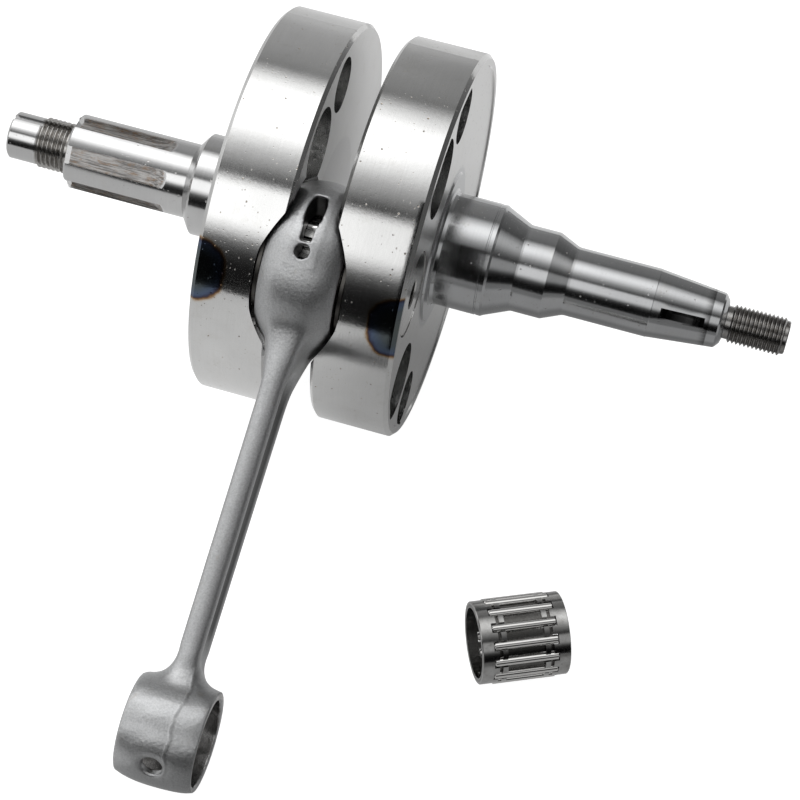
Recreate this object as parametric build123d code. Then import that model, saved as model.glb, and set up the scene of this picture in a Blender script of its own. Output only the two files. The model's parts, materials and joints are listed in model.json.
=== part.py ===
from build123d import *
import math
import os

# ---------------------------------------------------------------------------
# Built-up crankshaft of a large single-cylinder two-stroke engine, with its
# connecting rod, and the loose needle bearing of the rod's small end.
# Millimetres. +X runs along the crank axis towards the tapered (flywheel)
# shaft, +Z is up. The origin is on the crank axis, midway between the webs.
# The assembly lies on a flat surface at z = -web_radius: both webs and the
# rod's small end touch it, and so does the loose bearing.
# ---------------------------------------------------------------------------

# crank webs
web_radius = 60.0
web_face_in = 6.8            # |x| of the inner faces
web_face_out = 30.8          # |x| of the outer rim land
web_chamfer_in = 1.1
web_chamfer_out = 1.2
web_step_radius = 56.4       # the outer face is turned back inside this radius
web_step = 0.5
hub_radius = 23.0            # low boss round each shaft
crank_radius = 41.0          # half of the 82 mm stroke
pin_elevation = 25.85        # degrees above the -Y horizontal at rest

# crank pin and big end
pin_radius = 13.0
pin_half_length = 30.1
pin_bore_radius = 4.2
recess_floor = 13.4          # |x| of the thrust face inside each web's pocket
recess_floor_radius = 20.3
big_needle_d = 3.94
big_needle_len = 15.0
big_needle_count = 16
big_pitch_radius = 15.0
big_bore_radius = 17.0
big_cage_in = 13.4
big_cage_out = 16.6
big_cage_half = 10.0
washer_in = 13.15
washer_out = 18.6
washer_x0 = 11.75            # |x| of the face towards the rod
washer_t = 1.5

# connecting rod
rod_length = 140.0
rod_big_half = 11.5
rod_big_radius = 25.6
rod_side_radius = 20.2
small_out_radius = 15.5
small_half = 11.4
small_bore_radius = 12.5
shank_width = 8.2
shank_depth_big = 18.5
shank_depth_small = 15.0
flange_t = 4.2
pocket_depth = 2.3

# web balance holes, as angles from the pin's direction
hole_big_r, hole_big_at, hole_big_angle = 12.0, 45.2, 46.5
hole_small_r, hole_small_at, hole_small_angle = 8.5, 48.2, 75.0

# left shaft (primary drive side)
left_seat_radius = 16.0
spline_radius = 11.65
spline_floor = 9.75
spline_groove_width = 5.6
spline_count = 6
left_thread_major, left_thread_minor, left_pitch = 7.95, 7.05, 1.5
left_plain_radius = 7.35
left_end = -109.0

# right shaft (flywheel side)
right_seat_radius = 17.4
right_mid_radius = 13.45
right_small_radius = 10.6
taper_x0, taper_x1 = 97.0, 117.2
taper_r0, taper_r1 = 10.52, 8.45
right_thread_major, right_thread_minor, right_pitch = 5.88, 5.15, 1.25
right_end = 138.0

# loose small-end needle bearing
se_needle_d = 2.46
se_needle_len = 19.0
se_needle_count = 14
se_pitch_radius = 11.25
se_cage_in = 10.4
se_cage_out = 12.17
se_cage_half = 13.05
se_phase = 50.0              # elevation of the first needle, degrees
se_x, se_y = 84.8, -97.9
se_yaw = 27.06               # degrees, axis direction on the surface

os.makedirs("parts", exist_ok=True)


def revolved(points):
    """Solid of revolution about X from (x, r) corner points."""
    outline = Polyline(*[(x, r, 0) for x, r in points], close=True)
    return revolve(make_face(outline), axis=Axis.X, revolution_arc=360)


def revolved_edges(*edges):
    """Solid of revolution about X from a closed chain of lines and arcs."""
    return revolve(make_face(Wire(list(edges))), axis=Axis.X, revolution_arc=360)


def cyl_x(r, x0, x1, y=0.0, z=0.0):
    """Cylinder along X from x0 to x1."""
    return Pos((x0 + x1) / 2, y, z) * Rot(Y=90) * Cylinder(r, abs(x1 - x0))


def thread_points(x0, x1, major, minor, pitch, sign):
    """Ridge and root corners from x0 to x1 along sign."""
    n = int(abs(x1 - x0) / pitch)
    pts = []
    for i in range(n):
        a = x0 + sign * i * pitch
        pts += [
            (a, minor),
            (a + sign * pitch * 0.40, major),
            (a + sign * pitch * 0.55, major),
            (a + sign * pitch * 0.95, minor),
        ]
    return pts, x0 + sign * n * pitch


def web_points(s):
    """Rim and faces of a web; s is -1 for the left and +1 for the right."""
    return [
        (s * web_face_in, 0),
        (s * web_face_in, web_radius - web_chamfer_in),
        (s * (web_face_in + web_chamfer_in), web_radius),
        (s * (web_face_out - web_chamfer_out), web_radius),
        (s * web_face_out, web_radius - web_chamfer_out),
        (s * web_face_out, web_step_radius + 0.3),
        (s * (web_face_out - web_step), web_step_radius),
        (s * (web_face_out - web_step), hub_radius + 0.6),
        (s * (web_face_out + 0.1), hub_radius),
    ]


def web_cuts(s):
    """Pin hole, big-end pocket and balance holes, pin direction along +Z."""
    x0, x1 = s * (web_face_in - 3), s * (web_face_out + 3)
    cut = [cyl_x(pin_radius, x0, x1, 0, crank_radius)]
    # conical pocket that takes the rod's big end; it breaks out of the rim
    open_r = recess_floor_radius + (recess_floor - (web_face_in - 1.0))
    cone = revolved(
        [
            (s * recess_floor, 0),
            (s * recess_floor, recess_floor_radius - 0.8),
            (s * (recess_floor - 0.5), recess_floor_radius + 0.3),
            (s * (web_face_in - 1.0), open_r),
            (s * (web_face_in - 1.0), 0),
        ]
    )
    cut.append(Pos(0, 0, crank_radius) * cone)
    for sign in (-1, 1):
        for r, at, ang in (
            (hole_big_r, hole_big_at, hole_big_angle),
            (hole_small_r, hole_small_at, hole_small_angle),
        ):
            a = math.radians(sign * ang)
            cut.append(cyl_x(r, x0, x1, at * math.sin(a), at * math.cos(a)))
    return cut


def centre_drill(x, s):
    """Small lathe centre in a shaft end; s points out of the end."""
    return revolved([(x + s * 0.1, 0), (x + s * 0.1, 2.3), (x - s * 2.6, 0.8), (x - s * 4.4, 0.8), (x - s * 4.4, 0)])


# the crank halves are drawn with the pin straight up, then turned to rest
turn_crank = Rot(X=90 - pin_elevation)
pin_y = -crank_radius * math.cos(math.radians(pin_elevation))
pin_z = crank_radius * math.sin(math.radians(pin_elevation))

# --- left crank half --------------------------------------------------------
pts = web_points(-1)
pts += [
    (-(web_face_out + 0.1), left_seat_radius + 1.2),
    (-(web_face_out + 0.5), left_seat_radius + 0.35),
    (-(web_face_out + 1.5), left_seat_radius),
    (-46.5, left_seat_radius),
    (-47.3, left_seat_radius - 0.9),
    (-49.7, spline_radius),
    (-87.9, spline_radius),
    (-88.7, 10.85),
    (-88.8, 8.6),
    (-89.4, left_thread_minor - 0.15),
    (-90.4, left_thread_minor - 0.15),
]
ridge, x_end = thread_points(-90.4, -99.9, left_thread_major, left_thread_minor, left_pitch, -1)
pts += ridge
pts += [
    (x_end - 0.1, left_thread_minor + 0.1),
    (x_end - 0.6, left_plain_radius),
    (left_end + 0.6, left_plain_radius),
    (left_end, left_plain_radius - 0.6),
    (left_end, 0),
]
left_half = revolved(pts)
for c in web_cuts(-1):
    left_half = left_half - c
# milled spline grooves: flat floors that run out on the cutter's radius
run_r = 20.0
x_c = -55.6 - math.sqrt(run_r**2 - (run_r - (spline_radius - spline_floor)) ** 2)
groove_side = Polyline(
    (-95.0, 0, spline_floor),
    (x_c, 0, spline_floor),
)
arc_pts = []
for i in range(1, 9):
    t = math.radians(90) * i / 8 * 0.55
    arc_pts.append((x_c + run_r * math.sin(t), 0, spline_floor + run_r * (1 - math.cos(t))))
groove_face = make_face(
    Polyline((-89.3, 0, spline_floor), (x_c, 0, spline_floor), *arc_pts, (-89.3, 0, arc_pts[-1][2]), close=True)
)
groove = extrude(groove_face, amount=spline_groove_width / 2, dir=(0, 1, 0), both=True)
for i in range(spline_count):
    # the front groove stands 12.6 degrees above the pin's direction
    left_half = left_half - Rot(X=-(12.6 + i * 360 / spline_count)) * groove
# narrow slot for the lock washer's tab, along the thread and the plain end
tab_slot = Pos((left_end - 1 - 89.6) / 2, 0, 7.9) * Box(abs(left_end - 1 + 89.6), 2.2, 4.2)
left_half = left_half - Rot(X=-70.5) * tab_slot
left_half = left_half - centre_drill(left_end, -1)
left_half = turn_crank * left_half

# --- right crank half -------------------------------------------------------
pts = web_points(1)
pts += [
    (web_face_out + 0.1, right_seat_radius + 1.2),
    (web_face_out + 0.5, right_seat_radius + 0.35),
    (web_face_out + 1.5, right_seat_radius),
    (45.0, right_seat_radius),
    (45.1, right_seat_radius - 0.18),
    (45.5, right_seat_radius - 0.18),
    (45.6, right_seat_radius - 0.05),
    (46.9, right_seat_radius - 0.05),
    (47.6, right_seat_radius - 0.5),
    (55.1, right_mid_radius + 0.12),
    (55.7, right_mid_radius),
    (64.6, right_mid_radius),
    (65.3, right_mid_radius - 0.3),
    (70.8, right_small_radius + 0.12),
    (71.5, right_small_radius),
    (taper_x0 - 0.2, right_small_radius),
    (taper_x0, taper_r0),
    (taper_x1, taper_r1),
    (117.75, taper_r1 - 0.5),
    (118.7, 6.7),
    (119.1, right_thread_minor - 0.1),
    (120.6, right_thread_minor - 0.1),
]
ridge, x_end = thread_points(120.6, 137.4, right_thread_major, right_thread_minor, right_pitch, 1)
pts += ridge
pts += [
    (x_end + 0.05, right_thread_minor),
    (right_end - 0.3, right_thread_minor - 0.05),
    (right_end, right_thread_minor - 0.35),
    (right_end, 0),
]
right_half = revolved(pts)
for c in web_cuts(1):
    right_half = right_half - c
# half-moon keyway in the taper, 8.5 degrees above the pin's direction
keyway = Pos(106.65, 0, 12.8) * Rot(X=90) * Cylinder(7.5, 3.0)
right_half = right_half - Rot(X=-8.5) * keyway
right_half = right_half - centre_drill(right_end, 1)
right_half = turn_crank * right_half

# --- crank pin --------------------------------------------------------------
crank_pin = revolved(
    [
        (-pin_half_length, pin_bore_radius + 0.4),
        (-pin_half_length, pin_radius - 0.6),
        (-pin_half_length + 0.6, pin_radius),
        (pin_half_length - 0.6, pin_radius),
        (pin_half_length, pin_radius - 0.6),
        (pin_half_length, pin_bore_radius + 0.4),
        (pin_half_length - 0.4, pin_bore_radius),
        (-pin_half_length + 0.4, pin_bore_radius),
    ]
)
crank_pin = Pos(0, pin_y, pin_z) * crank_pin

# --- thrust washers ---------------------------------------------------------
def washer(s):
    a, b = s * washer_x0, s * (washer_x0 + washer_t)
    ring = revolved(
        [(a, washer_in), (a, washer_out - 0.25), (a + s * 0.25, washer_out), (b - s * 0.25, washer_out), (b, washer_out - 0.25), (b, washer_in)]
    )
    return Pos(0, pin_y, pin_z) * ring


# --- needles and cages ------------------------------------------------------
def needle(d, length):
    r, h, c = d / 2, length / 2, d * 0.12
    return revolved([(-h, 0), (-h, r - c), (-h + c, r), (h - c, r), (h, r - c), (h, 0)])


def ring_spots(count, pitch_r, phase):
    """(y, z, elevation) of each needle about the bearing's own axis."""
    out = []
    for i in range(count):
        el = phase + i * 360.0 / count
        a = math.radians(el)
        out.append((-pitch_r * math.cos(a), pitch_r * math.sin(a), el))
    return out


big_spots = ring_spots(big_needle_count, big_pitch_radius, 4.0)
big_cage = revolved(
    [(-big_cage_half, big_cage_in), (-big_cage_half, big_cage_out), (big_cage_half, big_cage_out), (big_cage_half, big_cage_in)]
)
for y, z, el in big_spots:
    big_cage = big_cage - Rot(X=90 - el) * Pos(0, 0, big_pitch_radius) * Box(big_needle_len + 0.3, big_needle_d + 0.16, 6)
big_cage = Pos(0, pin_y, pin_z) * big_cage

se_spots = ring_spots(se_needle_count, se_pitch_radius, se_phase)
se_cage = revolved(
    [
        (-se_cage_half, se_cage_in),
        (-se_cage_half, se_cage_out - 0.2),
        (-se_cage_half + 0.2, se_cage_out),
        (se_cage_half - 0.2, se_cage_out),
        (se_cage_half, se_cage_out - 0.2),
        (se_cage_half, se_cage_in),
    ]
)
# the bars between the needles are sunk in the middle and notched near each end
for a, b, r in ((-5.6, 5.6, 10.95), (-8.1, -7.1, 11.1), (7.1, 8.1, 11.1)):
    se_cage = se_cage - revolved([(a, r), (a, se_cage_out + 1), (b, se_cage_out + 1), (b, r)])
for y, z, el in se_spots:
    se_cage = se_cage - Rot(X=90 - el) * Pos(0, 0, se_pitch_radius) * Box(se_needle_len + 0.3, se_needle_d + 0.44, 5)
# the bearing lies on its lowest needles
se_drop = max(-z for y, z, el in se_spots) + se_needle_d / 2
se_place = Pos(se_x, se_y, -web_radius + se_drop) * Rot(Z=se_yaw)
se_cage = se_place * se_cage

# --- connecting rod ---------------------------------------------------------
# drawn with the big end at the origin and the small end straight below it
big_boss = revolved_edges(
    Line((-rod_big_half, 0), (-rod_big_half, rod_side_radius)),
    Line((-rod_big_half, rod_side_radius), (-rod_big_half + 0.5, rod_side_radius + 0.9)),
    ThreePointArc((-rod_big_half + 0.5, rod_side_radius + 0.9), (-7.6, 24.0), (-4.0, 25.4)),
    ThreePointArc((-4.0, 25.4), (0, rod_big_radius), (4.0, 25.4)),
    ThreePointArc((4.0, 25.4), (7.6, 24.0), (rod_big_half - 0.5, rod_side_radius + 0.9)),
    Line((rod_big_half - 0.5, rod_side_radius + 0.9), (rod_big_half, rod_side_radius)),
    Line((rod_big_half, rod_side_radius), (rod_big_half, 0)),
    Line((rod_big_half, 0), (-rod_big_half, 0)),
)
# the small end is crowned: the forging dies part near its middle
small_boss = revolved_edges(
    Line((-small_half, 0), (-small_half, small_out_radius - 2.0)),
    Line((-small_half, small_out_radius - 2.0), (-small_half + 0.6, small_out_radius - 1.35)),
    ThreePointArc((-small_half + 0.6, small_out_radius - 1.35), (0.5, small_out_radius), (small_half - 0.6, small_out_radius - 1.15)),
    Line((small_half - 0.6, small_out_radius - 1.15), (small_half, small_out_radius - 1.7)),
    Line((small_half, small_out_radius - 1.7), (small_half, 0)),
    Line((small_half, 0), (-small_half, 0)),
)
small_boss = Pos(0, 0, -rod_length) * small_boss


def oblong(w, d, z, r):
    return Pos(0, 0, z) * RectangleRounded(w, d, r)


shank = loft([oblong(shank_width, shank_depth_big, -20, 1.8), oblong(shank_width, shank_depth_small, -128, 1.8)])
neck_big = loft([oblong(14.5, 34.0, -15.0, 3.0), oblong(12.4, 26.0, -24.0, 3.0), oblong(9.4, 20.2, -33.0, 2.4), oblong(shank_width, 18.1, -40.0, 1.8)])
neck_small = loft(
    [oblong(shank_width, 15.4, -115.0, 1.8), oblong(9.0, 15.8, -121.0, 2.2), oblong(12.6, 17.0, -126.5, 3.0), oblong(18.0, 19.0, -131.0, 3.5)]
)
rod = big_boss + shank + neck_big + neck_small + small_boss
# the two side pockets that make the shank an I section
for s in (-1, 1):
    z0, z1 = -37.0, -118.0

    def half_depth(z):
        t = (-20 - z) / 108.0
        return (shank_depth_big + (shank_depth_small - shank_depth_big) * t) / 2 - flange_t

    hd0, hd1 = half_depth(z0), half_depth(z1)
    outline = make_face(Polyline((0, -hd0, z0), (0, hd0, z0), (0, hd1, z1), (0, -hd1, z1), close=True))
    pocket = extrude(outline, amount=pocket_depth + 3, dir=(s, 0, 0))
    ends = [Pos(s * (pocket_depth + 3) / 2, 0, z) * Rot(Y=90) * Cylinder(h, pocket_depth + 3) for z, h in ((z0, hd0), (z1, hd1))]
    rod = rod - Pos(s * (shank_width / 2 - pocket_depth), 0, 0) * (pocket + ends[0] + ends[1])
# bores
rod = rod - cyl_x(big_bore_radius, -20, 20)
rod = rod - Pos(0, 0, -rod_length) * revolved(
    [
        (-20, 0),
        (-20, small_bore_radius + 0.7),
        (-small_half, small_bore_radius + 0.7),
        (-small_half + 0.7, small_bore_radius),
        (small_half - 0.7, small_bore_radius),
        (small_half, small_bore_radius + 0.7),
        (20, small_bore_radius + 0.7),
        (20, 0),
    ]
)
# oil slots through the big end's sides: a pointed leaf and a round hole, on
# the upper side and mirrored on the lower side
leaf = make_face(
    ThreePointArc((0, -9.6, 0), (2.6, -1.0, 0), (1.6, 6.4, 0)) + Line((1.6, 6.4, 0), (-1.6, 6.4, 0)) + ThreePointArc((-1.6, 6.4, 0), (-2.6, -1.0, 0), (0, -9.6, 0))
)
for side in (-1, 1):
    # angles from the rod's direction, towards the side
    for ang, kind in ((114.0, "leaf"), (97.0, "link"), (84.0, "hole")):
        th = math.radians(ang)
        tool = extrude(leaf, amount=16) if kind == "leaf" else None
        if kind == "leaf":
            tool = Pos(0, 0, 14) * tool
        elif kind == "link":
            tool = Pos(0, 0, 22) * Box(3.4, 5.4, 16)
        else:
            tool = Pos(0, 0, 22) * Cylinder(2.2, 16)
        # tool points along +Z; turn it to point at angle ang from -Z
        rod = rod - Rot(X=side * (ang - 180.0) * -1.0) * tool if side > 0 else rod - Rot(X=180.0 - ang) * tool
# one oil hole through the small end's wall, on the upper side
oil = Pos(0, 0, 14) * Cylinder(3.1, 8)
rod = rod - Pos(0, 0, -rod_length) * Rot(X=180.0 - 43.6) * oil
rod_slope = math.degrees(math.asin((pin_z + web_radius - small_out_radius) / rod_length))
turn_rod = Pos(0, pin_y, pin_z) * Rot(X=-(90 - rod_slope))
rod = turn_rod * rod

nodes = {
    "left_crank_half": left_half,
    "right_crank_half": right_half,
    "crank_pin": crank_pin,
    "connecting_rod": rod,
    "thrust_washer_left": washer(-1),
    "thrust_washer_right": washer(1),
    "big_end_cage": big_cage,
    "small_end_cage": se_cage,
}
for i, (y, z, el) in enumerate(big_spots):
    nodes[f"big_end_needle_{i + 1:02d}"] = Pos(0, pin_y + y, pin_z + z) * needle(big_needle_d, big_needle_len)
for i, (y, z, el) in enumerate(se_spots):
    nodes[f"small_end_needle_{i + 1:02d}"] = se_place * Pos(0, y, z) * needle(se_needle_d, se_needle_len)

for name, shape in nodes.items():
    if isinstance(shape, (list, ShapeList)):
        shape = Compound(children=list(shape))
    export_step(shape, f"parts/{name}.step")
print("pin", round(pin_y, 3), round(pin_z, 3), "rod slope", round(rod_slope, 3), "bearing z", round(-web_radius + se_drop, 4))
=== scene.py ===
import bpy
import bmesh
import json
import math
import numpy as np
from mathutils import Matrix, Vector

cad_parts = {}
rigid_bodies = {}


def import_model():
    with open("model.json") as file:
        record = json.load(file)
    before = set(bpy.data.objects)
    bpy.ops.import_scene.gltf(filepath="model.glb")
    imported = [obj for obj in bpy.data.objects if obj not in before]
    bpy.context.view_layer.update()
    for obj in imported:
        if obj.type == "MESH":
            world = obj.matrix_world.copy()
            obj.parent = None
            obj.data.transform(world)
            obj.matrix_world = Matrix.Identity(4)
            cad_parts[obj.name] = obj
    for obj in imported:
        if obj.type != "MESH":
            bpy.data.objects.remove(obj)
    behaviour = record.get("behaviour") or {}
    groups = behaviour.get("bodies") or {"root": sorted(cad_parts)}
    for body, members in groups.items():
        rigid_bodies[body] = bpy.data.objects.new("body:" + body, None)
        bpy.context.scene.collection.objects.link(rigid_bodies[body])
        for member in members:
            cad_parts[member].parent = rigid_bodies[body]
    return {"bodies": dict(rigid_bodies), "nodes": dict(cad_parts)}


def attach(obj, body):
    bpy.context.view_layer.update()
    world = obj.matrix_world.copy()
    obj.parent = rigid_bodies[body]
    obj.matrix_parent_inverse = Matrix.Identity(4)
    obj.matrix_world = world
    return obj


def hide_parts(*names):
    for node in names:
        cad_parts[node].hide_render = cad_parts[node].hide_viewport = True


for old in list(bpy.data.objects):
    bpy.data.objects.remove(old)

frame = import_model()
bpy.context.view_layer.update()
nodes = frame["nodes"]
bodies = frame["bodies"]
scene = bpy.context.scene

MM = 0.001
WEB_R = 60.0
PIN_EL = 25.85            # degrees above the -Y horizontal
PIN_DIR = (-math.cos(math.radians(PIN_EL)), math.sin(math.radians(PIN_EL)))
BIG_END = (-36.897, 17.877)
SMALL_END = (-162.23, -44.5)
FLOOR_Z = -0.0602


# ---------------------------------------------------------------- node tools
class Tree:
    """Small helper that writes a node tree line by line."""

    def __init__(self, tree):
        self.t = tree
        self.n = tree.nodes
        self.l = tree.links

    def add(self, kind, **props):
        node = self.n.new(kind)
        for k, v in props.items():
            setattr(node, k, v)
        return node

    def put(self, socket, value):
        if isinstance(value, bpy.types.NodeSocket):
            self.l.new(value, socket)
        else:
            socket.default_value = value

    def math(self, op, a, b=None, c=None, clamp=False):
        node = self.add("ShaderNodeMath", operation=op, use_clamp=clamp)
        self.put(node.inputs[0], a)
        if b is not None:
            self.put(node.inputs[1], b)
        if c is not None:
            self.put(node.inputs[2], c)
        return node.outputs[0]

    def vmath(self, op, a, b=None, scale=None):
        node = self.add("ShaderNodeVectorMath", operation=op)
        self.put(node.inputs[0], a)
        if b is not None:
            self.put(node.inputs[1], b)
        if scale is not None:
            self.put(node.inputs["Scale"], scale)
        return node.outputs["Value"] if op in ("LENGTH", "DOT_PRODUCT", "DISTANCE") else node.outputs[0]

    def combine(self, x, y, z):
        node = self.add("ShaderNodeCombineXYZ")
        for i, v in enumerate((x, y, z)):
            self.put(node.inputs[i], v)
        return node.outputs[0]

    def separate(self, v):
        node = self.add("ShaderNodeSeparateXYZ")
        self.put(node.inputs[0], v)
        return node.outputs

    def step(self, value, low, high):
        """0 below low, 1 above high, smooth between; low may be above high."""
        node = self.add("ShaderNodeMapRange", interpolation_type="SMOOTHSTEP")
        self.put(node.inputs["Value"], value)
        if low < high:
            node.inputs["From Min"].default_value, node.inputs["From Max"].default_value = low, high
            node.inputs["To Min"].default_value, node.inputs["To Max"].default_value = 0, 1
        else:
            node.inputs["From Min"].default_value, node.inputs["From Max"].default_value = high, low
            node.inputs["To Min"].default_value, node.inputs["To Max"].default_value = 1, 0
        return node.outputs["Result"]

    def spread(self, value, a, b, to_a, to_b):
        node = self.add("ShaderNodeMapRange")
        self.put(node.inputs["Value"], value)
        for k, v in (("From Min", a), ("From Max", b), ("To Min", to_a), ("To Max", to_b)):
            node.inputs[k].default_value = v
        return node.outputs["Result"]

    def noise(self, vector, scale, detail=3.0, rough=0.55, distortion=0.0):
        node = self.add("ShaderNodeTexNoise")
        self.put(node.inputs["Vector"], vector)
        node.inputs["Scale"].default_value = scale
        node.inputs["Detail"].default_value = detail
        node.inputs["Roughness"].default_value = rough
        node.inputs["Distortion"].default_value = distortion
        return node.outputs["Fac"]

    def voronoi(self, vector, scale, feature="F1", randomness=1.0):
        node = self.add("ShaderNodeTexVoronoi", feature=feature)
        self.put(node.inputs["Vector"], vector)
        node.inputs["Scale"].default_value = scale
        node.inputs["Randomness"].default_value = randomness
        return node

    def mix(self, factor, a, b):
        node = self.add("ShaderNodeMix", data_type="RGBA")
        self.put(node.inputs[0], factor)
        self.put(node.inputs[6], a)
        self.put(node.inputs[7], b)
        return node.outputs[2]

    def mixf(self, factor, a, b):
        node = self.add("ShaderNodeMix", data_type="FLOAT")
        self.put(node.inputs[0], factor)
        self.put(node.inputs[2], a)
        self.put(node.inputs[3], b)
        return node.outputs[0]

    def ramp(self, value, stops, interpolation="LINEAR"):
        node = self.add("ShaderNodeValToRGB")
        self.put(node.inputs[0], value)
        cr = node.color_ramp
        cr.interpolation = interpolation
        while len(cr.elements) > 1:
            cr.elements.remove(cr.elements[-1])
        cr.elements[0].position, cr.elements[0].color = stops[0][0], grey4(stops[0][1])
        for p, c in stops[1:]:
            e = cr.elements.new(p)
            e.color = grey4(c)
        return node.outputs[0]

    def bump(self, height, strength, distance, normal=None):
        node = self.add("ShaderNodeBump")
        self.put(node.inputs["Height"], height)
        node.inputs["Strength"].default_value = strength
        node.inputs["Distance"].default_value = distance
        if normal is not None:
            self.put(node.inputs["Normal"], normal)
        return node.outputs[0]


def grey4(c):
    if isinstance(c, (int, float)):
        return (c, c, c, 1.0)
    return tuple(c) + (1.0,) if len(c) == 3 else tuple(c)


def new_material(name):
    m = bpy.data.materials.new(name)
    m.use_nodes = True
    m.node_tree.nodes.clear()
    t = Tree(m.node_tree)
    out = t.add("ShaderNodeOutputMaterial")
    sh = t.add("ShaderNodeBsdfPrincipled")
    t.l.new(sh.outputs[0], out.inputs[0])
    sh.inputs["Metallic"].default_value = 1.0
    return m, t, sh


def object_mm(t):
    """Object coordinates in millimetres."""
    tc = t.add("ShaderNodeTexCoord")
    return t.vmath("SCALE", tc.outputs["Object"], scale=1000.0), tc


# ---------------------------------------------------------------- materials
def ground_steel(name, base, tint_side, shaft_base, tint_el):
    """Ground and turned steel round the X axis, with heat tint on the rim where the pin was pressed in, and painted
    shade colouring the keyway and the big-end pocket near black.
    """
    m, t, sh = new_material(name)
    p, tc = object_mm(t)
    x, y, z = t.separate(p)
    r = t.math("SQRT", t.math("ADD", t.math("MULTIPLY", y, y), t.math("MULTIPLY", z, z)))
    nx = t.math("ABSOLUTE", t.separate(tc.outputs["Normal"])[0])
    face = t.step(nx, 0.86, 0.97)
    web = t.step(r, 24.5, 26.0)
    # run of the tool: lines along x on the round faces and along r on the flat ones
    u = t.math("ADD", x, r)
    lines = t.noise(t.combine(t.math("MULTIPLY", u, 7.0), t.math("MULTIPLY", y, 0.05), t.math("MULTIPLY", z, 0.05)), 1.0, 4.0, 0.7)
    coarse = t.noise(t.combine(t.math("MULTIPLY", u, 1.1), t.math("MULTIPLY", y, 0.03), t.math("MULTIPLY", z, 0.03)), 1.0, 3.0, 0.6)
    cloud = t.noise(p, 0.045, 4.0, 0.6, 0.4)
    fine = t.noise(p, 0.9, 5.0, 0.7)
    stain = t.step(t.noise(p, 0.12, 5.0, 0.65, 0.8), 0.52, 0.75)
    colour = t.mix(web, grey4(shaft_base), grey4(base))
    colour = t.mix(t.math("MULTIPLY", stain, 0.22), colour, grey4((base[0] * 0.72, base[1] * 0.69, base[2] * 0.63)))
    tone = t.math("ADD", t.spread(cloud, 0.3, 0.7, 0.94, 1.05), t.spread(lines, 0.25, 0.75, -0.05, 0.05))
    mul = t.add("ShaderNodeMix", data_type="RGBA", blend_type="MULTIPLY")
    mul.inputs[0].default_value = 1.0
    t.put(mul.inputs[6], colour)
    t.put(mul.inputs[7], t.combine(tone, tone, tone))
    colour = mul.outputs[2]
    # small pits and tan specks
    v = t.voronoi(t.vmath("ADD", p, t.combine(t.math("MULTIPLY", fine, 0.6), 0.0, t.math("MULTIPLY", fine, 0.5))), 0.42)
    pit_on = t.step(t.separate(v.outputs["Color"])[0], 0.72, 0.78)
    pit = t.math("MULTIPLY", t.step(v.outputs["Distance"], 0.15, 0.07), pit_on)
    v2 = t.voronoi(p, 1.05)
    patchy = t.step(t.noise(p, 0.085, 4.0, 0.6, 0.5), 0.46, 0.60)
    dot_on = t.math("MULTIPLY", t.step(t.separate(v2.outputs["Color"])[1], 0.70, 0.76), t.mixf(patchy, 0.15, 1.0))
    dot = t.math("MULTIPLY", t.step(v2.outputs["Distance"], 0.24, 0.12), dot_on)
    speck_tone = t.mix(t.separate(v.outputs["Color"])[2], grey4((0.30, 0.22, 0.13)), grey4((0.16, 0.145, 0.13)))
    rim_only = t.step(r, 59.0, 59.5)
    many = t.mixf(rim_only, 0.35, 1.0)
    colour = t.mix(t.math("MULTIPLY", pit, t.math("MULTIPLY", many, 0.75)), colour, speck_tone)
    colour = t.mix(t.math("MULTIPLY", dot, t.math("MULTIPLY", many, 0.55)), colour, grey4((0.33, 0.27, 0.2)))
    rough = t.math("ADD", t.mixf(face, t.mixf(web, 0.135, 0.115), 0.30), t.spread(cloud, 0.3, 0.7, -0.015, 0.025))
    rough = t.math("ADD", rough, t.math("MULTIPLY", pit, 0.25))
    rough = t.math("ADD", rough, t.spread(lines, 0.3, 0.7, -0.015, 0.02))
    # heat tint: black in the middle, then blue, brown and straw
    te = math.radians(tint_el)
    cy, cz = -math.cos(te) * WEB_R, math.sin(te) * WEB_R
    along = t.math("ADD", t.math("MULTIPLY", t.math("SUBTRACT", y, cy), PIN_DIR[1]), t.math("MULTIPLY", t.math("SUBTRACT", z, cz), -PIN_DIR[0]))
    off = t.math("SUBTRACT", t.math("MULTIPLY", x, float(tint_side)), 31.5)
    wob = t.noise(p, 0.22, 3.0, 0.5)
    tall = t.math("MAXIMUM", t.math("MULTIPLY", along, 1.0 / 9.0), t.math("MULTIPLY", along, -1.0 / 10.4))
    wide = t.math("MULTIPLY", t.math("ABSOLUTE", off), 1.0 / 9.9)
    dist = t.math("POWER", t.math("ADD", t.math("POWER", tall, 2.6), t.math("POWER", wide, 2.6)), 1.0 / 2.6)
    dist = t.math("MULTIPLY", t.math("ADD", dist, t.spread(wob, 0.3, 0.7, -0.05, 0.05)), 0.8)
    tint = t.ramp(dist, [
        (0.0, (0.10, 0.112, 0.108)), (0.44, (0.09, 0.105, 0.11)), (0.56, (0.085, 0.11, 0.145)), (0.66, (0.09, 0.12, 0.19)),
        (0.71, (0.06, 0.07, 0.12)), (0.745, (0.06, 0.045, 0.05)), (0.77, (0.20, 0.11, 0.055)),
        (0.80, (0.40, 0.28, 0.17)), (0.85, (0.55, 0.52, 0.47))], "B_SPLINE")
    tint_on = t.math("MULTIPLY", t.step(dist, 0.88, 0.78), t.math("MULTIPLY", t.step(r, 57.0, 59.0), t.step(t.math("MULTIPLY", x, float(tint_side)), 16.0, 18.0)))
    near_pin = t.math("ADD", t.math("MULTIPLY", y, PIN_DIR[0]), t.math("MULTIPLY", z, PIN_DIR[1]))
    tint_on = t.math("MULTIPLY", tint_on, t.step(near_pin, 0.0, 10.0))
    colour = t.mix(tint_on, colour, tint)
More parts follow.
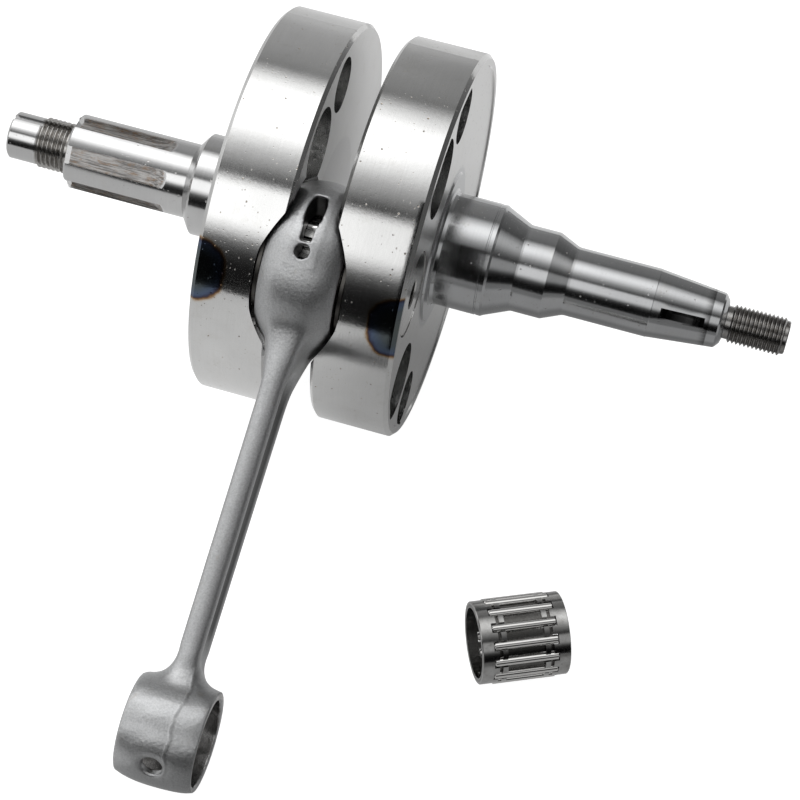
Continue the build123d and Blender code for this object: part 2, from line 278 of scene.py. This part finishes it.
    # milled floors, threads and undercuts
    low = t.math("MULTIPLY", t.math("MULTIPLY", t.step(x, -87.2, -87.0), t.step(x, -49.9, -50.4)), t.step(r, 11.5, 11.2))
    streak = t.noise(t.combine(t.math("MULTIPLY", x, 0.12), t.math("MULTIPLY", y, 1.9), t.math("MULTIPLY", z, 1.9)), 1.0, 5.0, 0.7)
    rust = t.step(t.noise(t.combine(t.math("MULTIPLY", x, 0.35), y, z), 1.0, 5.0, 0.75), 0.50, 0.66)
    milled = t.mix(t.step(streak, 0.40, 0.60), grey4((0.20, 0.195, 0.19)), grey4((0.50, 0.49, 0.48)))
    milled = t.mix(t.math("MULTIPLY", rust, 0.6), milled, grey4((0.30, 0.19, 0.11)))
    colour = t.mix(low, colour, milled)
    rough = t.mixf(low, rough, 0.42)
    # painted shade: the keyway is coloured near black for the shade inside the cut
    keyway_painted_shade = t.math("MULTIPLY", t.math("MULTIPLY", t.step(x, 98.6, 99.0), t.step(x, 114.6, 114.2)), t.step(r, 9.0, 8.6))
    thread = t.math("MULTIPLY", t.math("MAXIMUM", t.math("MULTIPLY", t.step(x, -88.9, -89.4), t.step(x, -100.0, -99.4)), t.step(x, 118.8, 119.4)), t.step(r, 8.2, 8.0))
    oily = t.math("MULTIPLY", thread, t.spread(fine, 0.35, 0.65, 0.35, 0.8))
    cone = t.math("MULTIPLY", t.step(x, -88.4, -88.8), t.math("MULTIPLY", t.step(r, 10.3, 9.9), t.step(r, 8.15, 8.4)))
    oily = t.math("MAXIMUM", oily, t.math("MULTIPLY", cone, t.spread(fine, 0.35, 0.65, 0.45, 0.85)))
    colour = t.mix(oily, colour, grey4((0.16, 0.145, 0.125)))
    rough = t.mixf(thread, rough, 0.22)
    colour = t.mix(keyway_painted_shade, colour, grey4((0.05, 0.05, 0.05)))
    # walls of the balance holes, cut with a coarse drill, and the big-end pocket, coloured near black as painted shade
    wall = t.math("MULTIPLY", t.math("MULTIPLY", t.step(r, 25.5, 27.0), t.step(r, 58.6, 58.2)), t.step(nx, 0.45, 0.35))
    py, pz = t.math("SUBTRACT", y, BIG_END[0]), t.math("SUBTRACT", z, BIG_END[1])
    rp = t.math("SQRT", t.math("ADD", t.math("MULTIPLY", py, py), t.math("MULTIPLY", pz, pz)))
    ax = t.math("ABSOLUTE", x)
    pocket_painted_shade = t.math("MULTIPLY", t.step(ax, 13.7, 13.5), t.math("MULTIPLY", t.step(t.math("ADD", rp, ax), 34.6, 34.2), t.step(r, 59.9, 59.5)))
    pocket_painted_shade = t.math("MULTIPLY", pocket_painted_shade, t.step(t.math("ABSOLUTE", t.math("SUBTRACT", nx, 0.7071)), 0.12, 0.08))
    colour = t.mix(t.math("MULTIPLY", pocket_painted_shade, 0.9), colour, grey4((0.035, 0.034, 0.033)))
    rough = t.mixf(wall, rough, 0.20)
    chatter = t.math("MULTIPLY", wall, t.noise(p, 0.15, 3.0, 0.6, 1.0))
    t.put(sh.inputs["Base Color"], colour)
    t.put(sh.inputs["Roughness"], rough)
    height = t.math("ADD", t.math("MULTIPLY", lines, 0.5), t.math("MULTIPLY", coarse, 0.5))
    height = t.math("ADD", t.math("MULTIPLY", height, 1.0), t.math("MULTIPLY", t.noise(p, 0.75, 4.0, 0.65), t.mixf(rim_only, 0.35, 1.2)))
    height = t.math("SUBTRACT", height, t.math("ADD", t.math("MULTIPLY", pit, 4.5), t.math("MULTIPLY", dot, 3.6)))
    height = t.math("ADD", height, t.math("MULTIPLY", chatter, 26.0))
    b = t.bump(height, 0.5, 0.00002)
    t.put(sh.inputs["Normal"], b)
    return m


def plain_steel(name, base, rough, marks="round", axis="x", grain=1.0, stain=0.15, centre=(0.0, 0.0)):
    """Turned steel for the smaller parts."""
    m, t, sh = new_material(name)
    p, tc = object_mm(t)
    x, y, z = t.separate(p)
    ry, rz = t.math("SUBTRACT", y, centre[0]), t.math("SUBTRACT", z, centre[1])
    r = t.math("SQRT", t.math("ADD", t.math("MULTIPLY", ry, ry), t.math("MULTIPLY", rz, rz)))
    u = t.math("ADD", x, r)
    lines = t.noise(t.combine(t.math("MULTIPLY", u, 5.0), t.math("MULTIPLY", y, 0.1), t.math("MULTIPLY", z, 0.1)), 1.0, 4.0, 0.7)
    cloud = t.noise(p, 0.22, 4.0, 0.6, 0.3)
    fine = t.noise(p, 3.0, 5.0, 0.7)
    dirt = t.step(t.noise(p, 0.5, 5.0, 0.7, 0.5), 0.50, 0.72)
    dark = (base[0] * 0.55, base[1] * 0.52, base[2] * 0.48)
    colour = t.mix(t.math("MULTIPLY", dirt, stain), grey4(base), grey4(dark))
    colour = t.mix(t.spread(fine, 0.3, 0.7, 0.0, 0.16), colour, grey4(dark))
    ro = t.math("ADD", t.spread(cloud, 0.3, 0.7, rough - 0.03, rough + 0.04), t.math("MULTIPLY", dirt, 0.06))
    t.put(sh.inputs["Base Color"], colour)
    t.put(sh.inputs["Roughness"], ro)
    height = t.math("ADD", t.math("MULTIPLY", lines, 0.6), t.math("MULTIPLY", fine, 0.4 * grain))
    t.put(sh.inputs["Normal"], t.bump(height, 0.3, 0.00002 * grain))
    return m


def loose_cage_steel(name):
    """Polished cage: bright pillars and end rings; the floors between the pillars are coloured dark as painted shade,
    and rougher.
    """
    m, t, sh = new_material(name)
    p, tc = object_mm(t)
    q = t.vmath("SUBTRACT", p, t.combine(84.8, -97.9, -47.7431))
    along = t.vmath("DOT_PRODUCT", q, t.combine(0.8905306, 0.4549233, 0.0))
    r2 = t.math("SUBTRACT", t.vmath("DOT_PRODUCT", q, q), t.math("MULTIPLY", along, along))
    r = t.math("SQRT", r2)
    fine = t.noise(p, 2.4, 5.0, 0.7)
    cloud = t.noise(p, 0.25, 4.0, 0.6, 0.4)
    smear = t.step(t.noise(p, 0.7, 5.0, 0.7, 0.6), 0.48, 0.72)
    painted_shade_floor_zone = t.math("MULTIPLY", t.step(r, 11.5, 11.25), t.step(r, 10.5, 10.7))
    colour = t.mix(t.spread(cloud, 0.3, 0.7, 0.0, 0.8), grey4((0.42, 0.42, 0.415)), grey4((0.25, 0.245, 0.235)))
    colour = t.mix(t.math("MULTIPLY", smear, 0.45), colour, grey4((0.17, 0.165, 0.155)))
    colour = t.mix(t.math("MULTIPLY", painted_shade_floor_zone, t.spread(fine, 0.3, 0.7, 0.7, 0.95)), colour, grey4((0.06, 0.058, 0.054)))
    t.put(sh.inputs["Base Color"], colour)
    t.put(sh.inputs["Roughness"], t.math("ADD", t.spread(cloud, 0.3, 0.7, 0.10, 0.17), t.math("MULTIPLY", painted_shade_floor_zone, 0.10)))
    lines = t.noise(t.combine(t.math("MULTIPLY", along, 6.0), t.math("MULTIPLY", r, 2.0), 0.0), 1.0, 3.0, 0.6)
    t.put(sh.inputs["Normal"], t.bump(t.math("ADD", lines, t.math("MULTIPLY", fine, 0.6)), 0.3, 0.00002))
    return m


def forged_steel(name):
    """Peened forged steel: satin grey with a fine grain, ground faces at both eyes, a flash line round the small eye;
    painted shade darkens the walls of the big eye's slot, the floors of the shank's side pockets and a strip at the
    foot of the flash line.
    """
    m, t, sh = new_material(name)
    p, tc = object_mm(t)
    x, y, z = t.separate(p)
    grain = t.noise(p, 1.9, 5.0, 0.75)
    peen = t.voronoi(p, 1.15, "SMOOTH_F1").outputs["Distance"]
    cloud = t.noise(p, 0.06, 4.0, 0.6, 0.5)
    blotch = t.noise(p, 0.35, 4.0, 0.6, 0.3)
    nx = t.math("ABSOLUTE", t.separate(tc.outputs["Normal"])[0])
    ax = t.math("ABSOLUTE", x)
    ground = t.math("MULTIPLY", t.step(nx, 0.93, 0.985), t.step(ax, 11.1, 11.3))
    by, bz = t.math("SUBTRACT", y, BIG_END[0]), t.math("SUBTRACT", z, BIG_END[1])
    sy, sz = t.math("SUBTRACT", y, SMALL_END[0]), t.math("SUBTRACT", z, SMALL_END[1])
    rb = t.math("SQRT", t.math("ADD", t.math("MULTIPLY", by, by), t.math("MULTIPLY", bz, bz)))
    rs = t.math("SQRT", t.math("ADD", t.math("MULTIPLY", sy, sy), t.math("MULTIPLY", sz, sz)))
    bore = t.math("MAXIMUM", t.step(rb, 17.25, 17.1), t.step(rs, 12.75, 12.6))
    colour = t.mix(t.spread(grain, 0.25, 0.75, 0.0, 1.0), grey4((0.28, 0.285, 0.29)), grey4((0.57, 0.575, 0.58)))
    colour = t.mix(t.spread(cloud, 0.3, 0.7, 0.0, 0.30), colour, grey4((0.34, 0.34, 0.34)))
    colour = t.mix(t.step(blotch, 0.6, 0.8), colour, grey4((0.37, 0.36, 0.345)))
    bright = t.math("MAXIMUM", ground, bore)
    patch = t.mix(t.step(t.noise(p, 0.3, 4.0, 0.65, 0.6), 0.42, 0.62), grey4((0.50, 0.495, 0.49)), grey4((0.24, 0.235, 0.23)))
    # painted shade: the walls of the big eye's slot are coloured dark grey
    slot_wall_painted_shade = t.math("MULTIPLY", t.math("MULTIPLY", t.step(rb, 25.0, 24.4), t.step(rb, 16.5, 16.9)), t.step(ax, 5.2, 4.6))
    colour = t.mix(bright, colour, patch)
    colour = t.mix(slot_wall_painted_shade, colour, grey4((0.13, 0.13, 0.13)))
    rough = t.mixf(bright, t.spread(grain, 0.3, 0.7, 0.32, 0.41), 0.24)
    # shaded floors of the shank's two side pockets
    along = t.math("ADD", t.math("MULTIPLY", by, -0.8953), t.math("MULTIPLY", bz, -0.4455))
    across = t.math("ABSOLUTE", t.math("ADD", t.math("MULTIPLY", by, -0.4455), t.math("MULTIPLY", bz, 0.8953)))
    edge = t.math("SUBTRACT", across, t.math("SUBTRACT", 5.35, t.math("MULTIPLY", along, 0.0162)))
    hollow = t.math("MULTIPLY", t.math("MULTIPLY", t.step(edge, 0.9, -0.5), t.step(ax, 4.0, 3.3)), t.math("MULTIPLY", t.step(along, 30.0, 44.0), t.step(along, 117.0, 108.0)))
    colour = t.mix(t.math("MULTIPLY", hollow, 0.88), colour, grey4((0.085, 0.085, 0.085)))
    # flash line left by the forging dies, with painted shade in a dark strip at the foot of its ledge
    ang = t.math("ARCTAN2", sz, sy)
    wave = t.noise(t.combine(t.math("MULTIPLY", ang, 1.3), 0.0, 0.0), 1.0, 2.0, 0.5)
    line_x = t.spread(wave, 0.3, 0.7, 2.4, 4.4)
    d = t.math("SUBTRACT", x, line_x)
    near = t.math("MULTIPLY", t.math("MULTIPLY", t.step(rs, 26.0, 19.0), t.step(rs, 13.4, 13.9)), t.step(sz, -1.5, 6.0))
    flash = t.math("MULTIPLY", t.step(t.math("ABSOLUTE", d), 0.8, 0.1), near)
    ledge = t.math("MULTIPLY", t.step(d, 0.5, -0.5), near)
    colour = t.mix(t.math("MULTIPLY", t.math("MULTIPLY", t.step(d, -0.1, 0.5), t.step(d, 1.3, 0.6)), t.math("MULTIPLY", near, 0.26)), colour, grey4((0.17, 0.17, 0.17)))
    t.put(sh.inputs["Base Color"], colour)
    t.put(sh.inputs["Roughness"], rough)
    lines = t.noise(t.combine(t.math("MULTIPLY", t.math("ADD", x, rs), 5.0), t.math("MULTIPLY", y, 0.1), t.math("MULTIPLY", z, 0.1)), 1.0, 4.0, 0.7)
    rough_height = t.math("ADD", t.math("MULTIPLY", grain, 0.7), t.math("MULTIPLY", peen, 0.5))
    height = t.mixf(bright, rough_height, t.math("MULTIPLY", lines, 0.3))
    height = t.math("ADD", height, t.math("ADD", t.math("MULTIPLY", flash, 0.7), t.math("MULTIPLY", ledge, 1.0)))
    t.put(sh.inputs["Normal"], t.bump(height, 0.55, 0.00018))
    return m


# The right half is a darker copy of the same steel: its web at 0.55 against 0.60 is painted shade for the dimmer light
# on the right; its shaft at 0.425 against 0.53 is partly that painted shade and partly an oilier finish.
LEFT = ground_steel("ground_steel_left", (0.60, 0.60, 0.595), -1, (0.53, 0.53, 0.53), 25.0)
RIGHT = ground_steel("ground_steel_right_painted_shade", (0.55, 0.55, 0.545), 1, (0.425, 0.43, 0.435), 22.4)
FORGED = forged_steel("forged_rod_steel")
CAGE = plain_steel("cage_dark_steel", (0.30, 0.30, 0.295), 0.20, grain=1.6, stain=0.45)
WASHER = plain_steel("oily_washer_steel", (0.075, 0.072, 0.068), 0.30, grain=1.0, stain=0.4)
BRIGHT_CAGE = loose_cage_steel("cage_polished_steel")
NEEDLE = plain_steel("needle_polished_steel", (0.66, 0.655, 0.645), 0.10, grain=0.3, stain=0.12)
HARD = plain_steel("hardened_ground_steel", (0.55, 0.545, 0.535), 0.18, grain=0.6, stain=0.15)


def paint(obj, material):
    if not obj.material_slots:
        obj.data.materials.append(material)
    for s in obj.material_slots:
        s.material = material


for name, obj in nodes.items():
    if name == "left_crank_half":
        paint(obj, LEFT)
    elif name == "right_crank_half":
        paint(obj, RIGHT)
    elif name == "connecting_rod":
        paint(obj, FORGED)
    elif name.startswith("thrust_washer"):
        paint(obj, WASHER)
    elif name == "small_end_cage":
        paint(obj, BRIGHT_CAGE)
    elif name.endswith("_cage"):
        paint(obj, CAGE)
    elif "needle" in name:
        paint(obj, NEEDLE)
    else:
        paint(obj, HARD)


# ---------------------------------------------------------------- forged rod
def neighbour_mean(co, edges, n):
    """Mean of each vertex's neighbours."""
    a, b = edges[:, 0], edges[:, 1]
    count = np.bincount(a, minlength=n) + np.bincount(b, minlength=n)
    out = np.empty_like(co)
    for k in range(3):
        out[:, k] = (np.bincount(a, co[b, k], minlength=n) + np.bincount(b, co[a, k], minlength=n)) / np.maximum(count, 1)
    return out


def soft(v, low, high):
    t = np.clip((v - low) / (high - low), 0, 1)
    return t * t * (3 - 2 * t)


def forged_rod():
    """The rod as a forging: its edges and necks are rounded, its bores and side faces stay true."""
    src = nodes["connecting_rod"]
    me = src.data.copy()
    ob = bpy.data.objects.new("forged_rod", me)
    scene.collection.objects.link(ob)
    bm = bmesh.new()
    bm.from_mesh(me)
    bmesh.ops.remove_doubles(bm, verts=bm.verts, dist=1e-6)
    bm.to_mesh(me)
    bm.free()
    mod = ob.modifiers.new("skin", "REMESH")
    mod.mode = "VOXEL"
    mod.voxel_size = 0.45 * MM
    mod.adaptivity = 0.0
    mod.use_smooth_shade = True
    dg = bpy.context.evaluated_depsgraph_get()
    fine = bpy.data.meshes.new_from_object(ob.evaluated_get(dg))
    ob.modifiers.clear()
    ob.data = fine
    n = len(fine.vertices)
    co = np.empty(n * 3)
    fine.vertices.foreach_get("co", co)
    co = co.reshape(n, 3) / MM
    edges = np.empty(len(fine.edges) * 2, int)
    fine.edges.foreach_get("vertices", edges)
    edges = edges.reshape(-1, 2)
    along = np.array(SMALL_END) - np.array(BIG_END)
    along = along / np.linalg.norm(along)
    up = np.array((along[1], -along[0]))
    if up[1] < 0:
        up = -up

    def place(c):
        q = c[:, 1:] - np.array(BIG_END)
        s = c[:, 1:] - np.array(SMALL_END)
        return q @ along, q @ up, np.hypot(q[:, 0], q[:, 1]), np.hypot(s[:, 0], s[:, 1])

    t, w, rb, rs = place(co)
    ax = np.abs(co[:, 0])
    bore_b = np.abs(rb - 17.0) < 0.35
    bore_s = np.abs(rs - 12.5) < 0.35
    face_b = (ax > 11.2) & (rb < 21.4)
    face_s = (ax > 11.1) & (rs < 14.2) & (t > 120)
    keep = bore_b | bore_s | face_b | face_s
    free = np.where(keep, 0.0, 1.0)
    # hold the rims of the bores, the oil slots and the oil holes
    free *= 0.12 + 0.88 * soft(rb, 17.2, 19.5)
    free *= np.where(t > 110, 0.12 + 0.88 * soft(rs, 12.7, 14.0), 1.0)
    ang = np.degrees(np.arctan2(np.abs(w), t))
    slot_zone = (rb < 27) & (ang > 74) & (ang < 140) & (ax < 4.6)
    free = np.where(slot_zone, free * 0.05, free)
    sang = np.degrees(np.arctan2(np.abs(w), -(t - 140.0)))
    hole_zone = (rs < 17) & (ax < 4.6) & (np.abs(sang - 43.6) < 17) & (t > 120)
    free = np.where(hole_zone, free * 0.05, free)
    step = (0.5 * free)[:, None]
    for i in range(46):
        co = co + step * (neighbour_mean(co, edges, n) - co)
    # the small eye's shoulders stay full towards the shank
    s = co[:, 1:] - np.array(SMALL_END)
    rs = np.hypot(s[:, 0], s[:, 1])
    facing = -(s @ along) / np.maximum(rs, 1e-6)
    push = 1.2 * (co[:, 0] / 11.4) ** 2 * soft(facing, 0.15, 0.75) * soft(rs, 13.2, 14.4) * (1 - soft(rs, 19.0, 24.0))
    co[:, 1:] += s / np.maximum(rs, 1e-6)[:, None] * push[:, None]
    # the necks and the shank take more: a forging has generous radii there
    t, w, rb, rs = place(co)
    neck = soft(rb, 24.0, 27.0) * soft(rs, 14.5, 16.5)
    neck = np.maximum(neck, soft(t, 108.0, 116.0) * soft(128.5 - t, 0.0, 2.5) * soft(9.6 - ax, 0.0, 2.0))
    neck = np.maximum(neck, soft(t, 10.0, 22.0) * soft(118.0 - t, -8.0, 8.0) * soft(rb, 18.5, 22.0))
    neck = np.where(keep | slot_zone, 0.0, neck)
    step = (0.5 * neck * free)[:, None]
    for i in range(110):
        co = co + step * (neighbour_mean(co, edges, n) - co)
    zone = soft(t, 114.5, 121.0) * soft(129.0 - t, 0.0, 3.0) * soft(9.8 - ax, 0.0, 2.5)
    zone = np.where(keep | slot_zone, 0.0, zone)
    step = (0.5 * zone)[:, None]
    for i in range(150):
        co = co + step * (neighbour_mean(co, edges, n) - co)
    # give back the depth that the rounding took off the shank's two flanges
    t, w, rb, rs = place(co)
    shank = soft(t, 26.0, 36.0) * soft(122.0 - t, 0.0, 8.0)
    x = co[:, 0]
    crown = 1.0 + 0.045 * shank * np.exp(-(x / 3.0) ** 2)
    new_w = w * crown
    co[:, 1] += (new_w - w) * up[0]
    co[:, 2] += (new_w - w) * up[1]
    # true bores and faces
    q = co[:, 1:] - np.array(BIG_END)
    r = np.hypot(q[:, 0], q[:, 1])
    m = bore_b
    co[m, 1:] = np.array(BIG_END) + q[m] * (17.0 / r[m])[:, None]
    q = co[:, 1:] - np.array(SMALL_END)
    r = np.hypot(q[:, 0], q[:, 1])
    m = bore_s
    co[m, 1:] = np.array(SMALL_END) + q[m] * (12.5 / r[m])[:, None]
    # slight unevenness of the forging
    t, w, rb, rs = place(co)
    wav = (np.sin(0.31 * t + 1.3 * np.sin(0.17 * w + 0.4)) * np.sin(0.43 * co[:, 0] + 0.9) + 0.6 * np.sin(0.83 * t + 0.61 * co[:, 0] + 2.0) * np.sin(0.57 * w))
    rad = np.stack([np.zeros(n), q[:, 0] / r, q[:, 1] / r], 1)
    amount = 0.05 * wav * free * soft(rs, 13.6, 14.6) * (rs < 19)
    co = co + rad * amount[:, None]
    fine.vertices.foreach_set("co", (co * MM).astype(np.float32).ravel())
    fine.update()
    fine.materials.clear()
    fine.materials.append(FORGED)
    fine.polygons.foreach_set("use_smooth", np.ones(len(fine.polygons), bool))
    fine.update()
    return ob


rod = forged_rod()
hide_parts("connecting_rod")
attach(rod, "rod")

# ---------------------------------------------------------------- studio
def emitter(name, build, camera, diffuse=True, glossy=True):
    me = bpy.data.meshes.new(name)
    ob = bpy.data.objects.new(name, me)
    scene.collection.objects.link(ob)
    bm = bmesh.new()
    build(bm)
    bm.to_mesh(me)
    bm.free()
    ob.visible_camera = camera
    ob.visible_diffuse = diffuse
    ob.visible_glossy = glossy
    ob.visible_shadow = False
    return ob


def quad(bm, x0, x1, y0, y1, z):
    vs = [bm.verts.new(v) for v in ((x0, y0, z), (x1, y0, z), (x1, y1, z), (x0, y1, z))]
    bm.faces.new(vs)


# front of the studio at phi 0, overhead at 90, back at 180 degrees
BANDS = [
    (-30, 0.02), (-2, 0.01), (9, 0.012), (16, 0.05), (22, 0.2), (28, 1.1), (33, 1.75), (52.5, 1.75), (55.5, 0.9), (58, 0.05),
    (60.5, 0.16), (67, 0.5), (74, 0.85), (80, 1.4), (88, 2.1), (96, 2.6), (103, 2.55), (108, 2.3), (114, 1.7), (119, 1.3),
    (123, 0.8), (128, 0.28), (134, 0.38), (148, 0.46), (160, 0.48), (170, 0.53), (178, 0.64), (190, 0.7), (210, 0.7)]
TUNNEL_R = 0.95


def tunnel(bm):
    n = 96
    prev = None
    for i in range(n + 1):
        a = math.radians(-30 + 240 * i / n)
        y, z = -TUNNEL_R * math.cos(a), TUNNEL_R * math.sin(a)
        row = [bm.verts.new((xx, y, z)) for xx in (-1.4, 1.4)]
        if prev:
            bm.faces.new((prev[0], prev[1], row[1], row[0]))
        prev = row


def tunnel_material():
    m = bpy.data.materials.new("studio_softboxes")
    m.use_nodes = True
    m.node_tree.nodes.clear()
    t = Tree(m.node_tree)
    out = t.add("ShaderNodeOutputMaterial")
    em = t.add("ShaderNodeEmission")
    t.l.new(em.outputs[0], out.inputs[0])
    tc = t.add("ShaderNodeTexCoord")
    x, y, z = t.separate(tc.outputs["Object"])
    phi = t.math("DEGREES", t.math("ARCTAN2", z, t.math("MULTIPLY", y, -1.0)))
    phi = t.math("ADD", phi, t.math("MULTIPLY", t.math("LESS_THAN", phi, -90.0), 360.0))
    v = t.ramp(t.spread(phi, -30, 210, 0.0, 1.0), [((a + 30) / 240, l / 3.0) for a, l in BANDS])
    side = t.ramp(t.spread(x, -1.0, 1.0, 0.0, 1.0), [(0.0, 1.0), (0.42, 1.0), (0.455, 0.80), (0.485, 0.70), (0.6, 0.60), (0.8, 0.36), (1.0, 0.25)])
    t.put(em.inputs[0], v)
    t.put(em.inputs[1], t.math("MULTIPLY", side, 3.0))
    return m


studio = emitter("studio_tunnel", tunnel, camera=False)
studio.data.materials.append(tunnel_material())


def floor_material(name, left, right, diffuse):
    m = bpy.data.materials.new(name)
    m.use_nodes = True
    m.node_tree.nodes.clear()
    t = Tree(m.node_tree)
    out = t.add("ShaderNodeOutputMaterial")
    em = t.add("ShaderNodeEmission")
    tc = t.add("ShaderNodeTexCoord")
    x, y, z = t.separate(tc.outputs["Object"])
    t.put(em.inputs[1], t.spread(x, -0.12, 0.14, left, right))
    if diffuse:
        df = t.add("ShaderNodeBsdfDiffuse")
        df.inputs[0].default_value = (diffuse, diffuse, diffuse, 1)
        add = t.add("ShaderNodeAddShader")
        t.l.new(em.outputs[0], add.inputs[0])
        t.l.new(df.outputs[0], add.inputs[1])
        t.l.new(add.outputs[0], out.inputs[0])
    else:
        t.l.new(em.outputs[0], out.inputs[0])
    return m


floor = emitter("floor", lambda bm: quad(bm, -3, 3, -3, 3, FLOOR_Z), camera=True, diffuse=True, glossy=False)
floor.data.materials.append(floor_material("floor_white", 0.93, 0.93, 0.35))


def card_material():
    """The sweep as the metal sees it: matt white on the left, greyer on the right as painted shade, with painted shadow
    near the object on the right and under the rod's small end; it glows faintly in the same tone.
    """
    m = bpy.data.materials.new("floor_card_white")
    m.use_nodes = True
    m.node_tree.nodes.clear()
    t = Tree(m.node_tree)
    out = t.add("ShaderNodeOutputMaterial")
    tc = t.add("ShaderNodeTexCoord")
    x, y, z = t.separate(tc.outputs["Object"])
    # painted shade: the card greys from left to right
    tone = t.ramp(t.spread(x, -0.15, 0.15, 0.0, 1.0), [(0.0, 0.56), (0.2, 0.60), (0.38, 0.66), (0.46, 0.66), (0.55, 0.44), (0.68, 0.40), (1.0, 0.42)])
    # painted shadow: on the right the card darkens close to the object and lightens further back
    depth = t.mixf(t.step(y, -0.05, -0.02), 1.0, t.spread(y, 0.01, 0.10, 0.6, 1.8))
    depth = t.mixf(t.step(x, 0.005, 0.03), 1.0, depth)
    # painted shadow under the rod's small end
    painted_shadow_under_rod = t.math("MULTIPLY", t.step(y, -0.145, -0.185), t.step(x, -0.024, -0.016))
    depth = t.math("MULTIPLY", depth, t.mixf(painted_shadow_under_rod, 1.0, 0.55))
    tone = t.vmath("SCALE", tone, scale=depth)
    df = t.add("ShaderNodeBsdfDiffuse")
    t.put(df.inputs[0], tone)
    em = t.add("ShaderNodeEmission")
    t.put(em.inputs[0], tone)
    em.inputs[1].default_value = 0.12
    add = t.add("ShaderNodeAddShader")
    t.l.new(em.outputs[0], add.inputs[0])
    t.l.new(df.outputs[0], add.inputs[1])
    t.l.new(add.outputs[0], out.inputs[0])
    return m


card = emitter("floor_card", lambda bm: quad(bm, -1.4, 1.4, -0.50, 0.9, FLOOR_Z - 0.0005), camera=False, diffuse=False, glossy=True)
card.data.materials.append(card_material())


def flat_emission(name, value):
    m = bpy.data.materials.new(name)
    m.use_nodes = True
    m.node_tree.nodes.clear()
    t = Tree(m.node_tree)
    out = t.add("ShaderNodeOutputMaterial")
    em = t.add("ShaderNodeEmission")
    em.inputs[0].default_value = (value, value, value, 1)
    em.inputs[1].default_value = 1.0
    t.l.new(em.outputs[0], out.inputs[0])
    return m


def end_cap(x):
    def build(bm):
        vs = [bm.verts.new((x, -TUNNEL_R * math.cos(math.radians(a)), TUNNEL_R * math.sin(math.radians(a)))) for a in range(-30, 211, 10)]
        bm.faces.new(vs)
    return build


left_cap = emitter("studio_left_panel", end_cap(-1.38), camera=False)
left_cap.data.materials.append(flat_emission("studio_left_light", 1.15))
right_cap = emitter("studio_right_panel", end_cap(1.38), camera=False)
right_cap.data.materials.append(flat_emission("studio_right_dark", 0.12))


def flag(bm):
    """Narrow black flag that keeps the front softbox off the right bearing seat."""
    prev = None
    for i in range(25):
        a = math.radians(10 + 50 * i / 24)
        row = [bm.verts.new((xx, -0.070 * math.cos(a), 0.070 * math.sin(a))) for xx in (0.0272, 0.0415)]
        if prev:
            bm.faces.new((prev[0], prev[1], row[1], row[0]))
        prev = row


black = emitter("studio_flag", flag, camera=False, diffuse=False)
black.data.materials.append(flat_emission("studio_flag_black", 0.004))

world = bpy.data.worlds.new("studio_world")
scene.world = world
world.use_nodes = True
world.node_tree.nodes.clear()
wt = Tree(world.node_tree)
wo = wt.add("ShaderNodeOutputWorld")
bg = wt.add("ShaderNodeBackground")
lp = wt.add("ShaderNodeLightPath")
wt.put(bg.inputs[0], wt.mix(lp.outputs["Is Camera Ray"], grey4(0.05), grey4(1.0)))
wt.l.new(bg.outputs[0], wo.inputs[0])

# ---------------------------------------------------------------- camera
cam_data = bpy.data.cameras.new("camera")
cam = bpy.data.objects.new("camera", cam_data)
scene.collection.objects.link(cam)
RIGHT_V = (0.95756282, 0.27954494, 0.07019464)
DOWN_V = (0.26115652, -0.73846617, -0.62165597)
FWD_V = (-0.12194557, 0.61360643, -0.78013273)
C = (0.116185, -0.471017, 0.520485)
cam.matrix_world = Matrix((
    (RIGHT_V[0], -DOWN_V[0], -FWD_V[0], C[0]),
    (RIGHT_V[1], -DOWN_V[1], -FWD_V[1], C[1]),
    (RIGHT_V[2], -DOWN_V[2], -FWD_V[2], C[2]),
    (0, 0, 0, 1)))
cam_data.sensor_width = 36.0
cam_data.lens = 2311.126 * 36.0 / 800.0
cam_data.clip_start, cam_data.clip_end = 0.01, 20.0
scene.camera = cam
scene.view_settings.view_transform = "Standard"
scene.view_settings.look = "None"

bpy.context.view_layer.update()
